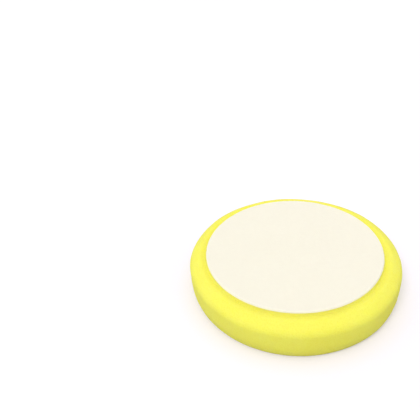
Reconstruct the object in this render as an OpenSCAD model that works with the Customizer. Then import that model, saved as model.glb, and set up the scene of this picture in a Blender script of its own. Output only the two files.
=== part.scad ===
// Foam polishing pad, 150 mm, for a 125 mm hook-and-loop backing plate.
// A block of open-cell foam is cut to a disc, and a disc of loop cloth, as wide as the plate,
// is glued to its back. The foam swells a little round the cloth, so that a crease runs along
// the cloth's rim, and then falls as a shoulder to the side wall. It lies here on its working
// face.
// Millimetres. The origin is the centre of the working face, and +Z points out of the back.

/* [Foam disc] */
// Diameter of the foam at its side wall
pad_d = 150; // [125:1:200]
// Thickness of the foam, from the working face to the face that is glued
foam_h = 28.4; // [20:0.1:40]
// Width of the rounding round the working face, in from the side wall
working_edge_w = 4.5; // [1:0.5:12]
// Height of that rounding, which is taller than it is wide
working_edge_h = 12; // [1:0.5:14]

/* [Back of the foam] */
// Depth of the crease along the rim of the loop disc, below the glued face
crease_depth = 2; // [0.5:0.1:3]
// Slant of the crease's inner side, in degrees from level
riser_angle = 70; // [45:1:80]
// Radius of the hollow in the crease
hollow_r = 0.6; // [0.2:0.1:1.5]
// Width from the rim of the loop disc out to the crest of the swelling
swell_w = 5; // [2.5:0.5:6]
// Drop from the glued face to that crest, before the crest is rounded
swell_drop = 0.6; // [0:0.1:2]
// Radius of the rounding over the crest
swell_r = 4.5; // [1:0.5:8]
// Fall of the shoulder from the crest to the side wall, in degrees
shoulder_fall = 32; // [5:1:40]
// Radius of the rounding where the shoulder meets the side wall
shoulder_r = 6; // [1:0.5:8]

/* [Loop disc] */
// Diameter of the loop cloth, which is that of the backing plate
loop_d = 125; // [75:1:150]
// Thickness of the film of adhesive that bonds the cloth to the foam
film_t = 0.2; // [0.1:0.05:0.5]
// Thickness of the cloth's knitted ground
ground_t = 0.5; // [0.3:0.05:1.5]
// Height of the brushed loops above the ground
pile_t = 0.9; // [0.5:0.05:2.5]
// Radius of the rounding round the top of the pile, where the loops lean outwards
pile_edge_r = 0.4; // [0.2:0.05:0.8]
// Width of ground cloth that the pile leaves bare at the cut edge
pile_inset = 0.3; // [0:0.05:1]

/* [Hidden] */

$fn = 96;
// Straight pieces in each rounding of a section
arc_steps = 8;
// Straight pieces in the rounding round the working face
edge_steps = 12;
// Share of the side wall's height that this rounding may take up
edge_share = 0.6;
// Share of the foam's width round the loop disc that the crease may take up, and be deep
crease_share = 0.2;
// Share of that width at which the crest may lie
crest_share = 0.5;
// Corners of a section that lie closer than this are one corner
same_point = 0.01;

pad_r = pad_d / 2;
loop_r = loop_d / 2;

// Heights of the layers, each of which lies on the one below
film_z = foam_h;
ground_z = film_z + film_t;
pile_z = ground_z + ground_t;

// Width of foam round the loop disc. Where little is left, the crease and the swelling shrink.
room = max(pad_r - loop_r, 0);
foot = [
    loop_r + min(crease_depth / tan(riser_angle), room * crease_share),
    foam_h - min(crease_depth, swell_drop + room * crease_share)
];
crest = [loop_r + min(swell_w, room * crest_share), foam_h - swell_drop];
// Height at which the shoulder would meet the side wall without its rounding
wall_top = crest.y - (pad_r - crest.x) * tan(shoulder_fall);
// Rounding round the working face: a quarter of an ellipse
edge_h = min(working_edge_h, wall_top * edge_share);
working_edge = [
    for (i = [0:edge_steps])
        let (t = 90 * i / edge_steps)
        [[pad_r - working_edge_w * (1 - sin(t)), edge_h * (1 - cos(t))], 0]
];

// Rounding of the corner c between a and b: an arc of radius r that takes up at most half
// of each side
function rounding(a, c, b, r) =
    let (
        to_a = (a - c) / norm(a - c),
        to_b = (b - c) / norm(b - c),
        half = acos(to_a * to_b) / 2
    )
    r == 0 || half > 89.9 ? [c] :
    let (
        reach = min(r / tan(half), norm(a - c) / 2, norm(b - c) / 2),
        centre = c + (to_a + to_b) / norm(to_a + to_b) * reach / cos(half),
        start = c + to_a * reach - centre,
        turn = sign(cross(to_b, to_a)) * (180 - 2 * half)
    )
    [
        for (i = [0:arc_steps])
            let (t = turn * i / arc_steps)
            centre + [start.x * cos(t) - start.y * sin(t), start.x * sin(t) + start.y * cos(t)]
    ];

// Outline through corners given as [point, radius]
function rounded(corners) =
    let (
        count = len(corners),
        kept = [
            for (i = [0:count - 1])
                if (norm(corners[i][0] - corners[(i + 1) % count][0]) > same_point) corners[i]
        ],
        n = len(kept)
    )
    [
        for (i = [0:n - 1])
            each rounding(kept[(i + n - 1) % n][0], kept[i][0], kept[(i + 1) % n][0], kept[i][1])
    ];

// The block of foam: flat working face, rounded edge, side wall, shoulder, swelling and crease
module foam_body() {
    color("#f2f05e") rotate_extrude() polygon(rounded([
        [[0, 0], 0],
        each working_edge,
        [[pad_r, wall_top], shoulder_r],
        [crest, swell_r],
        [foot, hollow_r],
        [[loop_r, foam_h], 0],
        [[0, foam_h], 0]
    ]));
}

// The adhesive between foam and cloth
module adhesive_film() {
    color("#e8dfa8") translate([0, 0, film_z]) cylinder(r = loop_r, h = film_t);
}

// The knitted ground of the loop cloth
module backing_cloth() {
    color("#f3f0e0") translate([0, 0, ground_z]) cylinder(r = loop_r, h = ground_t);
}

// The loops that stand on the ground, rounded over at the rim
module loop_pile() {
    pile_r = loop_r - pile_inset;
    color("#fdf9e8") translate([0, 0, pile_z]) rotate_extrude() polygon(rounded([
        [[0, 0], 0],
        [[pile_r, 0], 0],
        [[pile_r, pile_t], pile_edge_r],
        [[0, pile_t], 0]
    ]));
}

foam_body();
adhesive_film();
backing_cloth();
loop_pile();
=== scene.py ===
"""A foam polishing pad, 150 mm across, lying on its working face with its loop side up.

The foam is one section, drawn as a sketch, rounded at its corners and spun. On its back lie a film
of hot-melt adhesive, the warp-knit ground of the loop cloth, and the brushed nap on that ground,
with single loops of yarn that stand out of it. Everything is in metres, in the frame of the
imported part: the origin is the centre of the working face, and +Z points out of the loop side.
"""
import math
import random

import bmesh
import bpy
from bpy.props import FloatProperty, FloatVectorProperty, IntProperty, PointerProperty
from mathutils import Euler, Matrix, Vector, noise


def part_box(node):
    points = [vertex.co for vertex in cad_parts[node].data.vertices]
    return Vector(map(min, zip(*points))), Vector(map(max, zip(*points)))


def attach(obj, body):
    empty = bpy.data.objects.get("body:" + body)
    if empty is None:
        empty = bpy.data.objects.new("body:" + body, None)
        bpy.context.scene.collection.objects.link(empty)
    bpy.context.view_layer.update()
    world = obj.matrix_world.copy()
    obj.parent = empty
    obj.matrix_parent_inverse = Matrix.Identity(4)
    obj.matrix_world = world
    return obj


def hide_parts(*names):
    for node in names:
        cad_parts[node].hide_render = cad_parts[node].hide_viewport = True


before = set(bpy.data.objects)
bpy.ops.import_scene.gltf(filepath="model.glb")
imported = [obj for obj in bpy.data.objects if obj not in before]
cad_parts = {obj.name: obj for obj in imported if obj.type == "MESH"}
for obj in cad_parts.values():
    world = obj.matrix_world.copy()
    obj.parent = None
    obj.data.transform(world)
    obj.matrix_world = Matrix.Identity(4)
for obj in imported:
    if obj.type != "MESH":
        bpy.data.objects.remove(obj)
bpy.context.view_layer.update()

bl_info = {
    "name": "Polishing Pad",
    "version": (1, 0, 0),
    "blender": (4, 5, 0),
    "location": "View3D > Sidebar > Polishing Pad",
    "description": "Builds a foam polishing pad with its loop cloth, and a plain studio",
    "category": "Object",
}

MM = 0.001
ROOT = "root"
# Points closer than this are one point
SAME_POINT = 0.002 * MM
# Straight pieces in the rounding of a section's corner
ARC_SEGMENTS = 10
# How finely each piece is divided: about how long its faces are along its section, and how many
# stand round it
FOAM_GRID = (1.4 * MM, 336)
FILM_GRID = (4 * MM, 240)
GROUND_GRID = (1.5 * MM, 300)
NAP_GRID = (0.9 * MM, 400)
# Roundings of the ground's cut edge, below and above, and of the nap's upper edge
GROUND_ROUNDINGS = (0.12 * MM, 0.15 * MM)
NAP_ROUNDING = 0.62 * MM
# Lengths of the long and the short waves in the cut foam. The reach is divided by the last
# number for the short ones.
LONG_WAVE, SHORT_WAVE, SHORT_WAVE_DIVISOR = 30 * MM, 6 * MM, 3
# How far the other pieces stray, and the distance over which that changes
FILM_STRAY = (0.2 * MM, 5 * MM)
GROUND_STRAY = (0.15 * MM, 2 * MM)
NAP_FINE_STRAY, NAP_BROAD_STRAY = (0.10 * MM, 1.6 * MM), (0.10 * MM, 9 * MM)
# Width of the ground's rim that cutting has pulled out of true
FRAYED_RIM = 0.5 * MM
# Half the width of a loop as a share of the wale, the sides of its yarn, and its arch's pieces
LOOP_HALF_SHARE, YARN_SIDES, ARCH_PIECES = 0.3, 3, 4
# Spread of a loop's turns about X, Y and Z, in radians
LOOP_TURNS = (0.4, 0.2, 0.8)
# How far light that sinks into nylon yarn travels in it
YARN_GLOW = 0.5 * MM
# Width of the cloudy patches in the adhesive
ADHESIVE_CLOUD = 2 * MM
# How far the paper lies below the working face, so that the two don't share a plane
PAPER_DROP = 0.02 * MM
# Radii of the paper's rings outside its hole, in metres, and the faces in each ring
PAPER_RADII, PAPER_STEPS = (0.3, 1, 4), 96
# Width of the camera's sensor, in millimetres
SENSOR_WIDTH = 36
# A wave texture of scale 1 has 20 bands in 2 pi metres
WAVE_PERIOD = math.tau / 20
# Sockets of a colour mix, whose names are those of its other kinds too
MIX_FIRST, MIX_SECOND, MIX_RESULT = 6, 7, 2

# Lowest and highest corners of the layers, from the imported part. The foam stands on zero.
FOAM_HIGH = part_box("foam_body")[1]
FILM_LOW, FILM_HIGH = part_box("adhesive_film")
GROUND_LOW, GROUND_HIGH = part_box("backing_cloth")
PILE_LOW, PILE_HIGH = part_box("loop_pile")


def linear(hex_colour):
    """The linear RGBA of an sRGB colour written as six hex digits."""
    channels = [int(hex_colour[i:i + 2], 16) / 255 for i in (0, 2, 4)]
    return [c / 12.92 if c <= 0.04045 else ((c + 0.055) / 1.055) ** 2.4 for c in channels] + [1.0]


# ---------------------------------------------------------------- settings


class FoamSettings(bpy.types.PropertyGroup):
    """Sizes and colours of the foam disc."""

    diameter: FloatProperty(
        name="Diameter", description="Diameter of the foam at its side wall",
        default=2 * FOAM_HIGH.x, unit="LENGTH")
    thickness: FloatProperty(
        name="Thickness", description="From the working face to the face that is glued",
        default=FOAM_HIGH.z, unit="LENGTH")
    edge_width: FloatProperty(
        name="Edge width", description="Width of the rounding round the working face",
        default=4.5 * MM, unit="LENGTH")
    edge_height: FloatProperty(
        name="Edge height", description="Height of the rounding round the working face",
        default=12 * MM, unit="LENGTH")
    crease_depth: FloatProperty(
        name="Crease depth", description="From the glued face down to the foot of the crease",
        default=2 * MM, unit="LENGTH")
    riser_angle: FloatProperty(
        name="Riser angle", description="Slant of the crease's inner side, from level",
        default=math.radians(70), subtype="ANGLE")
    hollow_radius: FloatProperty(
        name="Hollow radius", description="Radius of the hollow in the crease",
        default=0.6 * MM, unit="LENGTH")
    swell_width: FloatProperty(
        name="Swell width", description="From the rim of the cloth to the crest of the swelling",
        default=5 * MM, unit="LENGTH")
    swell_drop: FloatProperty(
        name="Swell drop", description="From the glued face down to the crest of the swelling",
        default=0.6 * MM, unit="LENGTH")
    swell_radius: FloatProperty(
        name="Swell radius", description="Radius of the rounding over the crest",
        default=4.5 * MM, unit="LENGTH")
    shoulder_fall: FloatProperty(
        name="Shoulder fall", description="Fall of the shoulder from the crest to the side wall",
        default=math.radians(32), subtype="ANGLE")
    shoulder_radius: FloatProperty(
        name="Shoulder radius", description="Radius where the shoulder meets the side wall",
        default=6 * MM, unit="LENGTH")
    wander: FloatProperty(
        name="Wander", description="How far the cut surface strays from its true shape",
        default=0.35 * MM, unit="LENGTH")
    cell: FloatProperty(
        name="Cell size", description="Width of the foam's open cells as they are drawn",
        default=1.2 * MM, unit="LENGTH")
    cloud: FloatProperty(
        name="Cloud size", description="Width of the patches in which the foam's colour varies",
        default=22 * MM, unit="LENGTH")
    glow_depth: FloatProperty(
        name="Glow depth", description="How far light that sinks into the foam travels in it",
        default=9 * MM, unit="LENGTH")
    colour: FloatVectorProperty(
        name="Foam colour", description="Colour of the foam",
        default=linear("f9f46a"), size=4, min=0, max=1, subtype="COLOR")
    # Painted shade: the darker colour painted into the middle of each open cell
    pore_shade_colour: FloatVectorProperty(
        name="Pore colour", description="Colour inside the foam's open cells",
        default=linear("f0e448"), size=4, min=0, max=1, subtype="COLOR")


class ClothSettings(bpy.types.PropertyGroup):
    """Sizes and colours of the loop cloth and of the adhesive under it."""

    diameter: FloatProperty(
        name="Diameter", description="Diameter of the cloth, which is that of the backing plate",
        default=2 * GROUND_HIGH.x, unit="LENGTH")
    # Real loop cloth is about half as coarse. Its stitches are drawn larger so that they show.
    wale: FloatProperty(
        name="Wale spacing", description="Distance between the columns of loops",
        default=1.3 * MM, unit="LENGTH")
    course: FloatProperty(
        name="Course spacing", description="Distance between the rows of loops",
        default=1.2 * MM, unit="LENGTH")
    yarn: FloatProperty(
        name="Yarn thickness", description="Thickness of the yarn in a loop that stands up",
        default=0.14 * MM, unit="LENGTH")
    loop_rise: FloatProperty(
        name="Loop rise", description="How far single loops stand out of the brushed nap",
        default=0.25 * MM, unit="LENGTH")
    straying: FloatProperty(
        name="Straying", description="How far brushing has moved a loop from its stitch",
        default=0.4 * MM, unit="LENGTH")
    tuft: FloatProperty(
        name="Tuft size", description="Width of the tufts into which brushing gathers the nap",
        default=3 * MM, unit="LENGTH")
    seed: IntProperty(
        name="Seed", description="Start of the random draws for the loops", default=7)
    colour: FloatVectorProperty(
        name="Yarn colour", description="Colour of the loops",
        default=linear("f8f1e1"), size=4, min=0, max=1, subtype="COLOR")
    ground_colour: FloatVectorProperty(
        name="Ground colour", description="Colour of the knitted ground",
        default=linear("faf5e4"), size=4, min=0, max=1, subtype="COLOR")
    adhesive_colour: FloatVectorProperty(
        name="Adhesive colour", description="Colour of the film of adhesive",
        default=linear("f6ee98"), size=4, min=0, max=1, subtype="COLOR")


class StudioSettings(bpy.types.PropertyGroup):
    """The camera, the light and the paper sweep."""

    camera_place: FloatVectorProperty(
        name="Camera", description="Where the camera stands",
        default=(-56.5 * MM, -268.05 * MM, 249.4 * MM), size=3, subtype="TRANSLATION",
        unit="LENGTH")
    camera_pitch: FloatProperty(
        name="Camera pitch", description="How far the camera looks down from level",
        default=math.radians(33.87), subtype="ANGLE")
    camera_roll: FloatProperty(
        name="Camera roll", description="Turn of the camera about its own line of sight",
        default=math.radians(-5.59), subtype="ANGLE")
    lens: FloatProperty(
        name="Focal length", description="Focal length on a sensor 36 mm wide",
        default=41.14, min=10, max=200)
    sky: FloatProperty(
        name="Studio light", description="Strength of the even light from all round",
        default=0.81, min=0, max=1)
    key_strength: FloatProperty(
        name="Key light", description="Strength of the main light, in watts per square metre",
        default=1.02, min=0, max=100)
    key_from: FloatVectorProperty(
        name="Key direction", description="Where the main light comes from",
        default=(-0.3, -0.45, 0.7), size=3, subtype="DIRECTION")
    key_spread: FloatProperty(
        name="Key spread", description="Angle over which the main light is spread out",
        default=math.radians(25), subtype="ANGLE")
    paper_colour: FloatVectorProperty(
        name="Paper colour", description="Colour of the paper sweep where the camera sees it",
        default=linear("f0ebf7"), size=4, min=0, max=1, subtype="COLOR")
    bounce_colour: FloatVectorProperty(
        name="Bounce colour", description="Colour of the paper sweep in the light it sends back",
        default=linear("aeaeb2"), size=4, min=0, max=1, subtype="COLOR")
    paper_hole: FloatProperty(
        name="Paper hole", description="Radius of the hole in the paper under the pad",
        default=68 * MM, unit="LENGTH")
    paper_lift: FloatProperty(
        name="Paper lift", description="Light added to the paper where the camera sees it",
        default=0.145, min=0, max=1)
    lift_colour: FloatVectorProperty(
        name="Lift colour", description="Colour of that light",
        default=(0.96, 0.95, 1, 1), size=4, min=0, max=1, subtype="COLOR")


# ---------------------------------------------------------------- helpers


def add_node(tree, kind, settings=None, inputs=None):
    """Adds a node with its settings. An input, named or numbered, is a constant, or an output
    socket to link to it."""
    node = tree.nodes.new(kind)
    for name, value in (settings or {}).items():
        setattr(node, name, value)
    for name, value in (inputs or {}).items():
        if isinstance(value, bpy.types.NodeSocket):
            tree.links.new(value, node.inputs[name])
        else:
            node.inputs[name].default_value = value
    return node


def seen_by_camera(tree):
    """1 for rays from the camera, in reflections and through glass, and 0 for all others."""
    ray = add_node(tree, "ShaderNodeLightPath").outputs
    seen = add_node(
        tree, "ShaderNodeMath", {"operation": "MAXIMUM"},
        {0: ray["Is Camera Ray"], 1: ray["Is Glossy Ray"]})
    return add_node(
        tree, "ShaderNodeMath", {"operation": "MAXIMUM"},
        {0: seen.outputs[0], 1: ray["Is Transmission Ray"]}).outputs[0]


def new_material(name):
    """An empty material and its node tree."""
    material = bpy.data.materials.new(name)
    material.use_nodes = True
    material.node_tree.nodes.clear()
    return material, material.node_tree


def new_piece(name, mesh_data, material, smooth=True):
    """Puts a finished bmesh into the scene as an object at the origin."""
    mesh = bpy.data.meshes.new(name)
    mesh_data.to_mesh(mesh)
    mesh_data.free()
    mesh.materials.append(material)
    if smooth:
        mesh.shade_smooth()
    piece = bpy.data.objects.new(name, mesh)
    bpy.context.scene.collection.objects.link(piece)
    return piece


def spun(corners, grid, reshape=None):
    """A solid of revolution about Z. A corner is (radius, height, rounding), and the first and
    last corners lie on the axis. The section is drawn as a face in the XZ plane, its corners
    are bevelled, its edges are cut into pieces of about the grid's spacing, and they are spun
    in the grid's steps."""
    spacing, steps = grid
    solid = bmesh.new()
    points = [solid.verts.new((x, 0, z)) for x, z, _ in corners]
    solid.faces.new(points)
    for point, (_, _, rounding) in zip(points, corners):
        if rounding:
            to_a, to_b = [edge.other_vert(point).co - point.co for edge in point.link_edges]
            reach = rounding / math.tan(to_a.angle(to_b) / 2)
            bmesh.ops.bevel(
                solid, geom=[point], offset=reach, offset_type="OFFSET", segments=ARC_SEGMENTS,
                profile=0.5, affect="VERTICES", material=-1)
    if reshape:
        reshape(solid)
    bmesh.ops.delete(solid, geom=solid.faces[:], context="FACES_ONLY")
    on_axis = [e for e in solid.edges if max(v.co.x for v in e.verts) < SAME_POINT]
    bmesh.ops.delete(solid, geom=on_axis, context="EDGES")
    for edge in solid.edges[:]:
        cuts = int(edge.calc_length() / spacing)
        if cuts:
            bmesh.ops.subdivide_edges(solid, edges=[edge], cuts=cuts)
    bmesh.ops.spin(
        solid, geom=solid.verts[:] + solid.edges[:], cent=(0, 0, 0), axis=(0, 0, 1),
        dvec=(0, 0, 0), angle=math.tau, steps=steps, use_merge=True)
    bmesh.ops.remove_doubles(solid, verts=solid.verts[:], dist=SAME_POINT)
    bmesh.ops.recalc_face_normals(solid, faces=solid.faces[:])
    return solid


def strayed(point, reach, span):
    """How far a surface strays at a point: up to about reach, changing smoothly over span.
    Blender's plain noise is the same on each run. Its noise vectors are seeded by the clock."""
    return noise.noise(Vector(point) / span) * reach


# ---------------------------------------------------------------- materials


def cut_polyurethane_foam(foam):
    """Open-cell polyurethane foam, cut to shape with a blade. The cut cells leave a fine, dull
    grain, with painted shade in their open middles, and light that sinks in and comes out again
    softens every edge and shadow."""
    material, tree = new_material("open_cell_polyurethane_foam_cut")
    place = add_node(tree, "ShaderNodeTexCoord").outputs["Object"]
    # The real cells are about 0.4 mm wide, and are drawn larger so that they show
    cells = add_node(
        tree, "ShaderNodeTexVoronoi", {"feature": "F1"},
        {"Vector": place, "Scale": 1 / foam.cell, "Randomness": 0.9}).outputs["Distance"]
    clouds = add_node(
        tree, "ShaderNodeTexNoise", None,
        {"Vector": place, "Scale": 1 / foam.cloud, "Detail": 3.0, "Roughness": 0.6})
    # The middle of each cell is painted darker than the struts round it: painted shade in the open
    # cell
    painted_pore_shade = add_node(
        tree, "ShaderNodeMapRange", {"clamp": True},
        {"Value": cells, "From Min": 0.0, "From Max": 0.55, "To Min": 0.35, "To Max": 0.0})
    # The block is never quite even in colour
    unevenness = add_node(
        tree, "ShaderNodeMapRange", {"clamp": True},
        {"Value": clouds.outputs["Fac"], "From Min": 0.3, "From Max": 0.7,
         "To Min": 0.0, "To Max": 0.25})
    # Painted shade in the cells and the foam's uneven tone, added together
    pore_shade_and_tone = add_node(
        tree, "ShaderNodeMath", {"operation": "ADD"},
        {0: painted_pore_shade.outputs["Result"], 1: unevenness.outputs["Result"]})
    colour = add_node(
        tree, "ShaderNodeMix", {"data_type": "RGBA"},
        {"Factor": pore_shade_and_tone.outputs[0], MIX_FIRST: foam.colour, MIX_SECOND: foam.pore_shade_colour})
    relief = add_node(
        tree, "ShaderNodeBump", None, {"Strength": 0.5, "Distance": 0.3 * MM, "Height": cells})
    # The scattering reaches far in red and green, and hardly at all in blue
    shader = add_node(
        tree, "ShaderNodeBsdfPrincipled", None,
        {"Base Color": colour.outputs[MIX_RESULT], "Roughness": 0.85,
         "IOR": 1.45, "Specular IOR Level": 0.1, "Normal": relief.outputs[0],
         "Subsurface Weight": 0.5, "Subsurface Radius": (0.9, 1.0, 0.1),
         "Subsurface Scale": foam.glow_depth})
    add_node(tree, "ShaderNodeOutputMaterial", None, {"Surface": shader.outputs[0]})
    return material


def brushed_nylon_yarn(cloth):
    """Brushed nylon yarn. Its fine filaments are dull, with a faint bloom seen edge on."""
    material, tree = new_material("nylon_yarn_brushed")
    place = add_node(tree, "ShaderNodeTexCoord").outputs["Object"]
    tufts = add_node(
        tree, "ShaderNodeTexNoise", None,
        {"Vector": place, "Scale": 1 / cloth.tuft, "Detail": 2.0, "Roughness": 0.6})
    colour = add_node(
        tree, "ShaderNodeMix", {"data_type": "RGBA"},
        {"Factor": tufts.outputs["Fac"], MIX_FIRST: cloth.colour,
         MIX_SECOND: cloth.ground_colour})
    shader = add_node(
        tree, "ShaderNodeBsdfPrincipled", None,
        {"Base Color": colour.outputs[MIX_RESULT],
         "Roughness": 0.75, "IOR": 1.53, "Specular IOR Level": 0.3,
         "Sheen Weight": 0.15, "Sheen Roughness": 0.5,
         "Subsurface Weight": 0.3, "Subsurface Radius": (1.0, 1.0, 1.0),
         "Subsurface Scale": YARN_GLOW})
    add_node(tree, "ShaderNodeOutputMaterial", None, {"Surface": shader.outputs[0]})
    return material


def warp_knit_nylon(cloth):
    """Warp-knit nylon. Columns and rows of stitches show as a fine ribbing."""
    material, tree = new_material("nylon_ground_warp_knit")
    place = add_node(tree, "ShaderNodeTexCoord").outputs["Object"]
    wales, courses = [
        add_node(
            tree, "ShaderNodeTexWave", {"bands_direction": axis},
            {"Vector": place, "Scale": WAVE_PERIOD / spacing, "Distortion": 0.6}).outputs["Fac"]
        for axis, spacing in (("X", cloth.wale), ("Y", cloth.course))]
    stitches = add_node(
        tree, "ShaderNodeMath", {"operation": "MULTIPLY"}, {0: wales, 1: courses}).outputs[0]
    colour = add_node(
        tree, "ShaderNodeMix", {"data_type": "RGBA"},
        {"Factor": stitches, MIX_FIRST: cloth.ground_colour, MIX_SECOND: cloth.colour})
    relief = add_node(
        tree, "ShaderNodeBump", None, {"Strength": 0.6, "Distance": 0.2 * MM, "Height": stitches})
    shader = add_node(
        tree, "ShaderNodeBsdfPrincipled", None,
        {"Base Color": colour.outputs[MIX_RESULT], "Roughness": 0.8, "IOR": 1.53,
         "Specular IOR Level": 0.3, "Normal": relief.outputs[0],
         "Subsurface Weight": 0.3, "Subsurface Radius": (1.0, 1.0, 1.0),
         "Subsurface Scale": YARN_GLOW})
    add_node(tree, "ShaderNodeOutputMaterial", None, {"Surface": shader.outputs[0]})
    return material


def hot_melt_adhesive(cloth):
    """Hot-melt adhesive, pressed out as a film. It is smooth, a little glossy and cloudy."""
    material, tree = new_material("hot_melt_adhesive_pressed")
    place = add_node(tree, "ShaderNodeTexCoord").outputs["Object"]
    clouds = add_node(
        tree, "ShaderNodeTexNoise", None, {"Vector": place, "Scale": 1 / ADHESIVE_CLOUD})
    relief = add_node(
        tree, "ShaderNodeBump", None,
        {"Strength": 0.5, "Distance": 0.1 * MM, "Height": clouds.outputs["Fac"]})
    shader = add_node(
        tree, "ShaderNodeBsdfPrincipled", None,
        {"Base Color": cloth.adhesive_colour, "Roughness": 0.4, "IOR": 1.48,
         "Normal": relief.outputs[0]})
    add_node(tree, "ShaderNodeOutputMaterial", None, {"Surface": shader.outputs[0]})
    return material


def matt_paper(studio):
    """Matt white paper. The camera sees it lifted to the white of a bright studio, and the pad's
    own shadow stays on it."""
    material, tree = new_material("white_paper_matt")
    seen = seen_by_camera(tree)
    # The pad gets less light back from the paper than the camera does, so that the foot of its
    # wall stays in shade
    colour = add_node(
        tree, "ShaderNodeMix", {"data_type": "RGBA"},
        {"Factor": seen, MIX_FIRST: studio.bounce_colour, MIX_SECOND: studio.paper_colour})
    diffuse = add_node(tree, "ShaderNodeBsdfDiffuse", None, {"Color": colour.outputs[MIX_RESULT]})
    lift = add_node(
        tree, "ShaderNodeMath", {"operation": "MULTIPLY"}, {0: seen, 1: studio.paper_lift})
    glow = add_node(
        tree, "ShaderNodeEmission", None,
        {"Color": studio.lift_colour, "Strength": lift.outputs[0]})
    both = add_node(
        tree, "ShaderNodeAddShader", None, {0: diffuse.outputs[0], 1: glow.outputs[0]})
    add_node(tree, "ShaderNodeOutputMaterial", None, {"Surface": both.outputs[0]})
    return material


# ---------------------------------------------------------------- operators


class PAD_OT_foam(bpy.types.Operator):
    """Builds the block of yellow foam that the rest is glued to"""

    bl_idname = "polishing_pad.foam"
    bl_label = "Foam Body"

    def execute(self, context):
        foam, cloth = context.scene.pad_foam, context.scene.pad_cloth
        outer, rim = foam.diameter / 2, cloth.diameter / 2
        foot = Vector((rim + foam.crease_depth / math.tan(foam.riser_angle),
                       foam.thickness - foam.crease_depth))
        crest = Vector((rim + foam.swell_width, foam.thickness - foam.swell_drop))
        wall_top = crest.y - (outer - crest.x) * math.tan(foam.shoulder_fall)

        def make_edge_tall(section):
            """Stretches the rounding round the working face from a circle to an ellipse."""
            low = [v for v in section.verts if v.co.z < foam.edge_width + SAME_POINT]
            bmesh.ops.scale(
                section, vec=(1, 1, foam.edge_height / foam.edge_width), verts=low)

        body = spun(
            [(0, 0, 0), (outer, 0, foam.edge_width), (outer, wall_top, foam.shoulder_radius),
             (crest.x, crest.y, foam.swell_radius), (foot.x, foot.y, foam.hollow_radius),
             (rim, foam.thickness, 0), (0, foam.thickness, 0)],
            FOAM_GRID, reshape=make_edge_tall)
        body.normal_update()
        for vert in body.verts:
            # The face that lies on the paper and the face under the cloth stay flat
            free = min(1, vert.co.z / foam.edge_width)
            if vert.co.z < foam.thickness - SAME_POINT:
                shift = strayed(vert.co, foam.wander, LONG_WAVE)
                shift += strayed(vert.co, foam.wander / SHORT_WAVE_DIVISOR, SHORT_WAVE)
                vert.co += vert.normal * shift * free
        piece = new_piece("foam_disc", body, cut_polyurethane_foam(foam))
        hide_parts("foam_body")
        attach(piece, ROOT)
        return {"FINISHED"}


class PAD_OT_adhesive(bpy.types.Operator):
    """Builds the film of adhesive between the foam and the cloth"""

    bl_idname = "polishing_pad.adhesive"
    bl_label = "Adhesive Film"

    def execute(self, context):
        cloth = context.scene.pad_cloth
        rim, low, high = cloth.diameter / 2, FILM_LOW.z, FILM_HIGH.z
        film = spun([(0, low, 0), (rim, low, 0), (rim, high, 0), (0, high, 0)], FILM_GRID)
        for vert in film.verts:
            if vert.co.xy.length > rim - SAME_POINT:
                vert.co.xy *= 1 + strayed(vert.co, *FILM_STRAY) / rim
        piece = new_piece("adhesive_bead", film, hot_melt_adhesive(cloth), smooth=False)
        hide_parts("adhesive_film")
        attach(piece, ROOT)
        return {"FINISHED"}


class PAD_OT_ground_cloth(bpy.types.Operator):
    """Builds the knitted ground of the loop cloth"""

    bl_idname = "polishing_pad.ground_cloth"
    bl_label = "Ground Cloth"

    def execute(self, context):
        cloth = context.scene.pad_cloth
        rim, low, high = cloth.diameter / 2, GROUND_LOW.z, GROUND_HIGH.z
        below, above = GROUND_ROUNDINGS
        ground = spun(
            [(0, low, 0), (rim, low, below), (rim, high, above), (0, high, 0)], GROUND_GRID)
        for vert in ground.verts:
            if vert.co.xy.length > rim - FRAYED_RIM:
                vert.co.xy *= 1 + strayed(vert.co, *GROUND_STRAY) / rim
        piece = new_piece("knitted_ground", ground, warp_knit_nylon(cloth))
        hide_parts("backing_cloth")
        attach(piece, ROOT)
        return {"FINISHED"}


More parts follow.
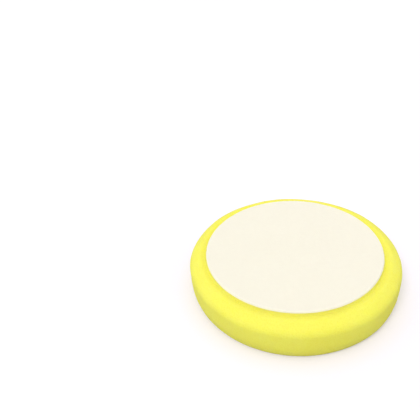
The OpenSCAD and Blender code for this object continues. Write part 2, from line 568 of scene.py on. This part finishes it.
class PAD_OT_loop_pile(bpy.types.Operator):
    """Builds the brushed nap and the single loops that stand out of it for the plate's hooks"""

    bl_idname = "polishing_pad.loop_pile"
    bl_label = "Loop Pile"

    def execute(self, context):
        cloth = context.scene.pad_cloth
        yarn = brushed_nylon_yarn(cloth)
        rim, low, high = PILE_HIGH.x, PILE_LOW.z, PILE_HIGH.z - cloth.loop_rise
        nap = spun(
            [(0, low, 0), (rim, low, 0), (rim, high, NAP_ROUNDING), (0, high, 0)], NAP_GRID)
        nap.normal_update()
        for vert in nap.verts:
            if vert.co.z > low + SAME_POINT:
                tuft = strayed(vert.co, *NAP_FINE_STRAY) + strayed(vert.co, *NAP_BROAD_STRAY)
                vert.co += vert.normal * tuft
        nap_piece = new_piece("loop_pile_nap", nap, yarn)
        loops_piece = new_piece("loop_pile_loops", self.loops(cloth, high), yarn)
        for piece in (nap_piece, loops_piece):
            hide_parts("loop_pile")
            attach(piece, ROOT)
        return {"FINISHED"}

    def loops(self, cloth, nap_top):
        """The loops, in the knit's rows and columns, each strayed and turned by the brushing."""
        draw = random.Random(cloth.seed)
        loop = self.loop(cloth)
        loops = bmesh.new()
        rim = PILE_HIGH.x - cloth.wale / 2
        rows, columns = int(rim / cloth.course), int(rim / cloth.wale) + 1
        for row in range(-rows, rows + 1):
            for column in range(-columns, columns + 1):
                # Every second row of the knit stands half a wale aside
                x = (column + 0.5 * (row % 2)) * cloth.wale + draw.uniform(-1, 1) * cloth.straying
                y = row * cloth.course + draw.uniform(-1, 1) * cloth.straying
                turn = Euler([draw.gauss(0, spread) for spread in LOOP_TURNS])
                if math.hypot(x, y) < rim:
                    place = Matrix.Translation((x, y, nap_top)) @ turn.to_matrix().to_4x4()
                    loop.transform(place)
                    loops.from_mesh(loop)
                    loop.transform(place.inverted())
        return loops

    def loop(self, cloth):
        """One loop: a ring of yarn spun through half a turn, with its feet in the nap."""
        arch = bmesh.new()
        half_width = cloth.wale * LOOP_HALF_SHARE
        ring = bmesh.ops.create_circle(
            arch, segments=YARN_SIDES, radius=cloth.yarn / 2,
            matrix=Matrix.Translation((half_width, 0, 0)))
        bmesh.ops.spin(
            arch, geom=ring["verts"] + list({e for v in ring["verts"] for e in v.link_edges}),
            cent=(0, 0, 0), axis=(0, -1, 0), dvec=(0, 0, 0), angle=math.pi,
            steps=ARCH_PIECES)
        bmesh.ops.scale(
            arch, vec=(1, 1, (cloth.loop_rise - cloth.yarn / 2) / half_width), verts=arch.verts[:])
        bmesh.ops.recalc_face_normals(arch, faces=arch.faces[:])
        mesh = bpy.data.meshes.new("loop_template")
        arch.to_mesh(mesh)
        arch.free()
        return mesh


class PAD_OT_studio(bpy.types.Operator):
    """Sets up the paper sweep, the even light, the main light and the camera"""

    bl_idname = "polishing_pad.studio"
    bl_label = "Studio"

    def execute(self, context):
        scene, studio = context.scene, context.scene.pad_studio
        scene.view_settings.view_transform = "Standard"

        # The paper is cut away under the pad, so that its working face is lit and seen from
        # below. The sheet lies a hair lower than the pad, and the pad covers the hole.
        sweep = bmesh.new()
        radii = (studio.paper_hole, *PAPER_RADII)
        marks = [sweep.verts.new((radius, 0, -PAPER_DROP)) for radius in radii]
        edges = [sweep.edges.new(pair) for pair in zip(marks, marks[1:])]
        bmesh.ops.spin(
            sweep, geom=marks + edges, cent=(0, 0, 0), axis=(0, 0, 1), dvec=(0, 0, 0),
            angle=math.tau, steps=PAPER_STEPS, use_merge=True)
        bmesh.ops.recalc_face_normals(sweep, faces=sweep.faces[:])
        new_piece("paper_sweep", sweep, matt_paper(studio))

        world = bpy.data.worlds.new("studio_light")
        scene.world = world
        world.use_nodes = True
        tree = world.node_tree
        tree.nodes.clear()
        # The camera sees plain white. Everything else is lit with the studio's own strength.
        strength = add_node(
            tree, "ShaderNodeMapRange", None,
            {"Value": seen_by_camera(tree), "To Min": studio.sky, "To Max": 1.0})
        background = add_node(
            tree, "ShaderNodeBackground", None,
            {"Color": (1, 1, 1, 1), "Strength": strength.outputs["Result"]})
        add_node(tree, "ShaderNodeOutputWorld", None, {"Surface": background.outputs[0]})

        # The main light is far off and broad, so that it falls evenly on all of the paper
        lamp = bpy.data.lights.new("key_light", "SUN")
        lamp.energy, lamp.angle = studio.key_strength, studio.key_spread
        key = bpy.data.objects.new("key_light", lamp)
        key.location = studio.key_from
        key.rotation_euler = (-key.location).to_track_quat("-Z", "Y").to_euler()
        scene.collection.objects.link(key)

        camera = bpy.data.objects.new("camera", bpy.data.cameras.new("camera"))
        camera.data.sensor_width = SENSOR_WIDTH
        camera.data.lens = studio.lens
        camera.location = studio.camera_place
        tilt = Matrix.Rotation(math.pi / 2 - studio.camera_pitch, 3, "X")
        roll = Matrix.Rotation(studio.camera_roll, 3, "Z")
        camera.rotation_euler = (tilt @ roll).to_euler()
        scene.collection.objects.link(camera)
        scene.camera = camera
        return {"FINISHED"}


# ---------------------------------------------------------------- panel and registration


BUILD_ORDER = (PAD_OT_foam, PAD_OT_adhesive, PAD_OT_ground_cloth, PAD_OT_loop_pile, PAD_OT_studio)


class VIEW3D_PT_polishing_pad(bpy.types.Panel):
    """Lists the builders and the settings in the 3D view's sidebar"""

    bl_label = "Polishing Pad"
    bl_idname = "VIEW3D_PT_polishing_pad"
    bl_space_type = "VIEW_3D"
    bl_region_type = "UI"
    bl_category = "Polishing Pad"

    def draw(self, context):
        for builder in BUILD_ORDER:
            self.layout.operator(builder.bl_idname)
        scene = context.scene
        for settings in (scene.pad_foam, scene.pad_cloth, scene.pad_studio):
            box = self.layout.box()
            for name in settings.__annotations__:
                box.prop(settings, name)


CLASSES = (FoamSettings, ClothSettings, StudioSettings, *BUILD_ORDER, VIEW3D_PT_polishing_pad)


def register():
    for cls in CLASSES:
        bpy.utils.register_class(cls)
    bpy.types.Scene.pad_foam = PointerProperty(type=FoamSettings)
    bpy.types.Scene.pad_cloth = PointerProperty(type=ClothSettings)
    bpy.types.Scene.pad_studio = PointerProperty(type=StudioSettings)


def unregister():
    del bpy.types.Scene.pad_studio
    del bpy.types.Scene.pad_cloth
    del bpy.types.Scene.pad_foam
    for cls in reversed(CLASSES):
        bpy.utils.unregister_class(cls)


def main():
    register()
    bpy.ops.polishing_pad.foam()
    bpy.ops.polishing_pad.adhesive()
    bpy.ops.polishing_pad.ground_cloth()
    bpy.ops.polishing_pad.loop_pile()
    bpy.ops.polishing_pad.studio()


if __name__ == "__main__":
    main()
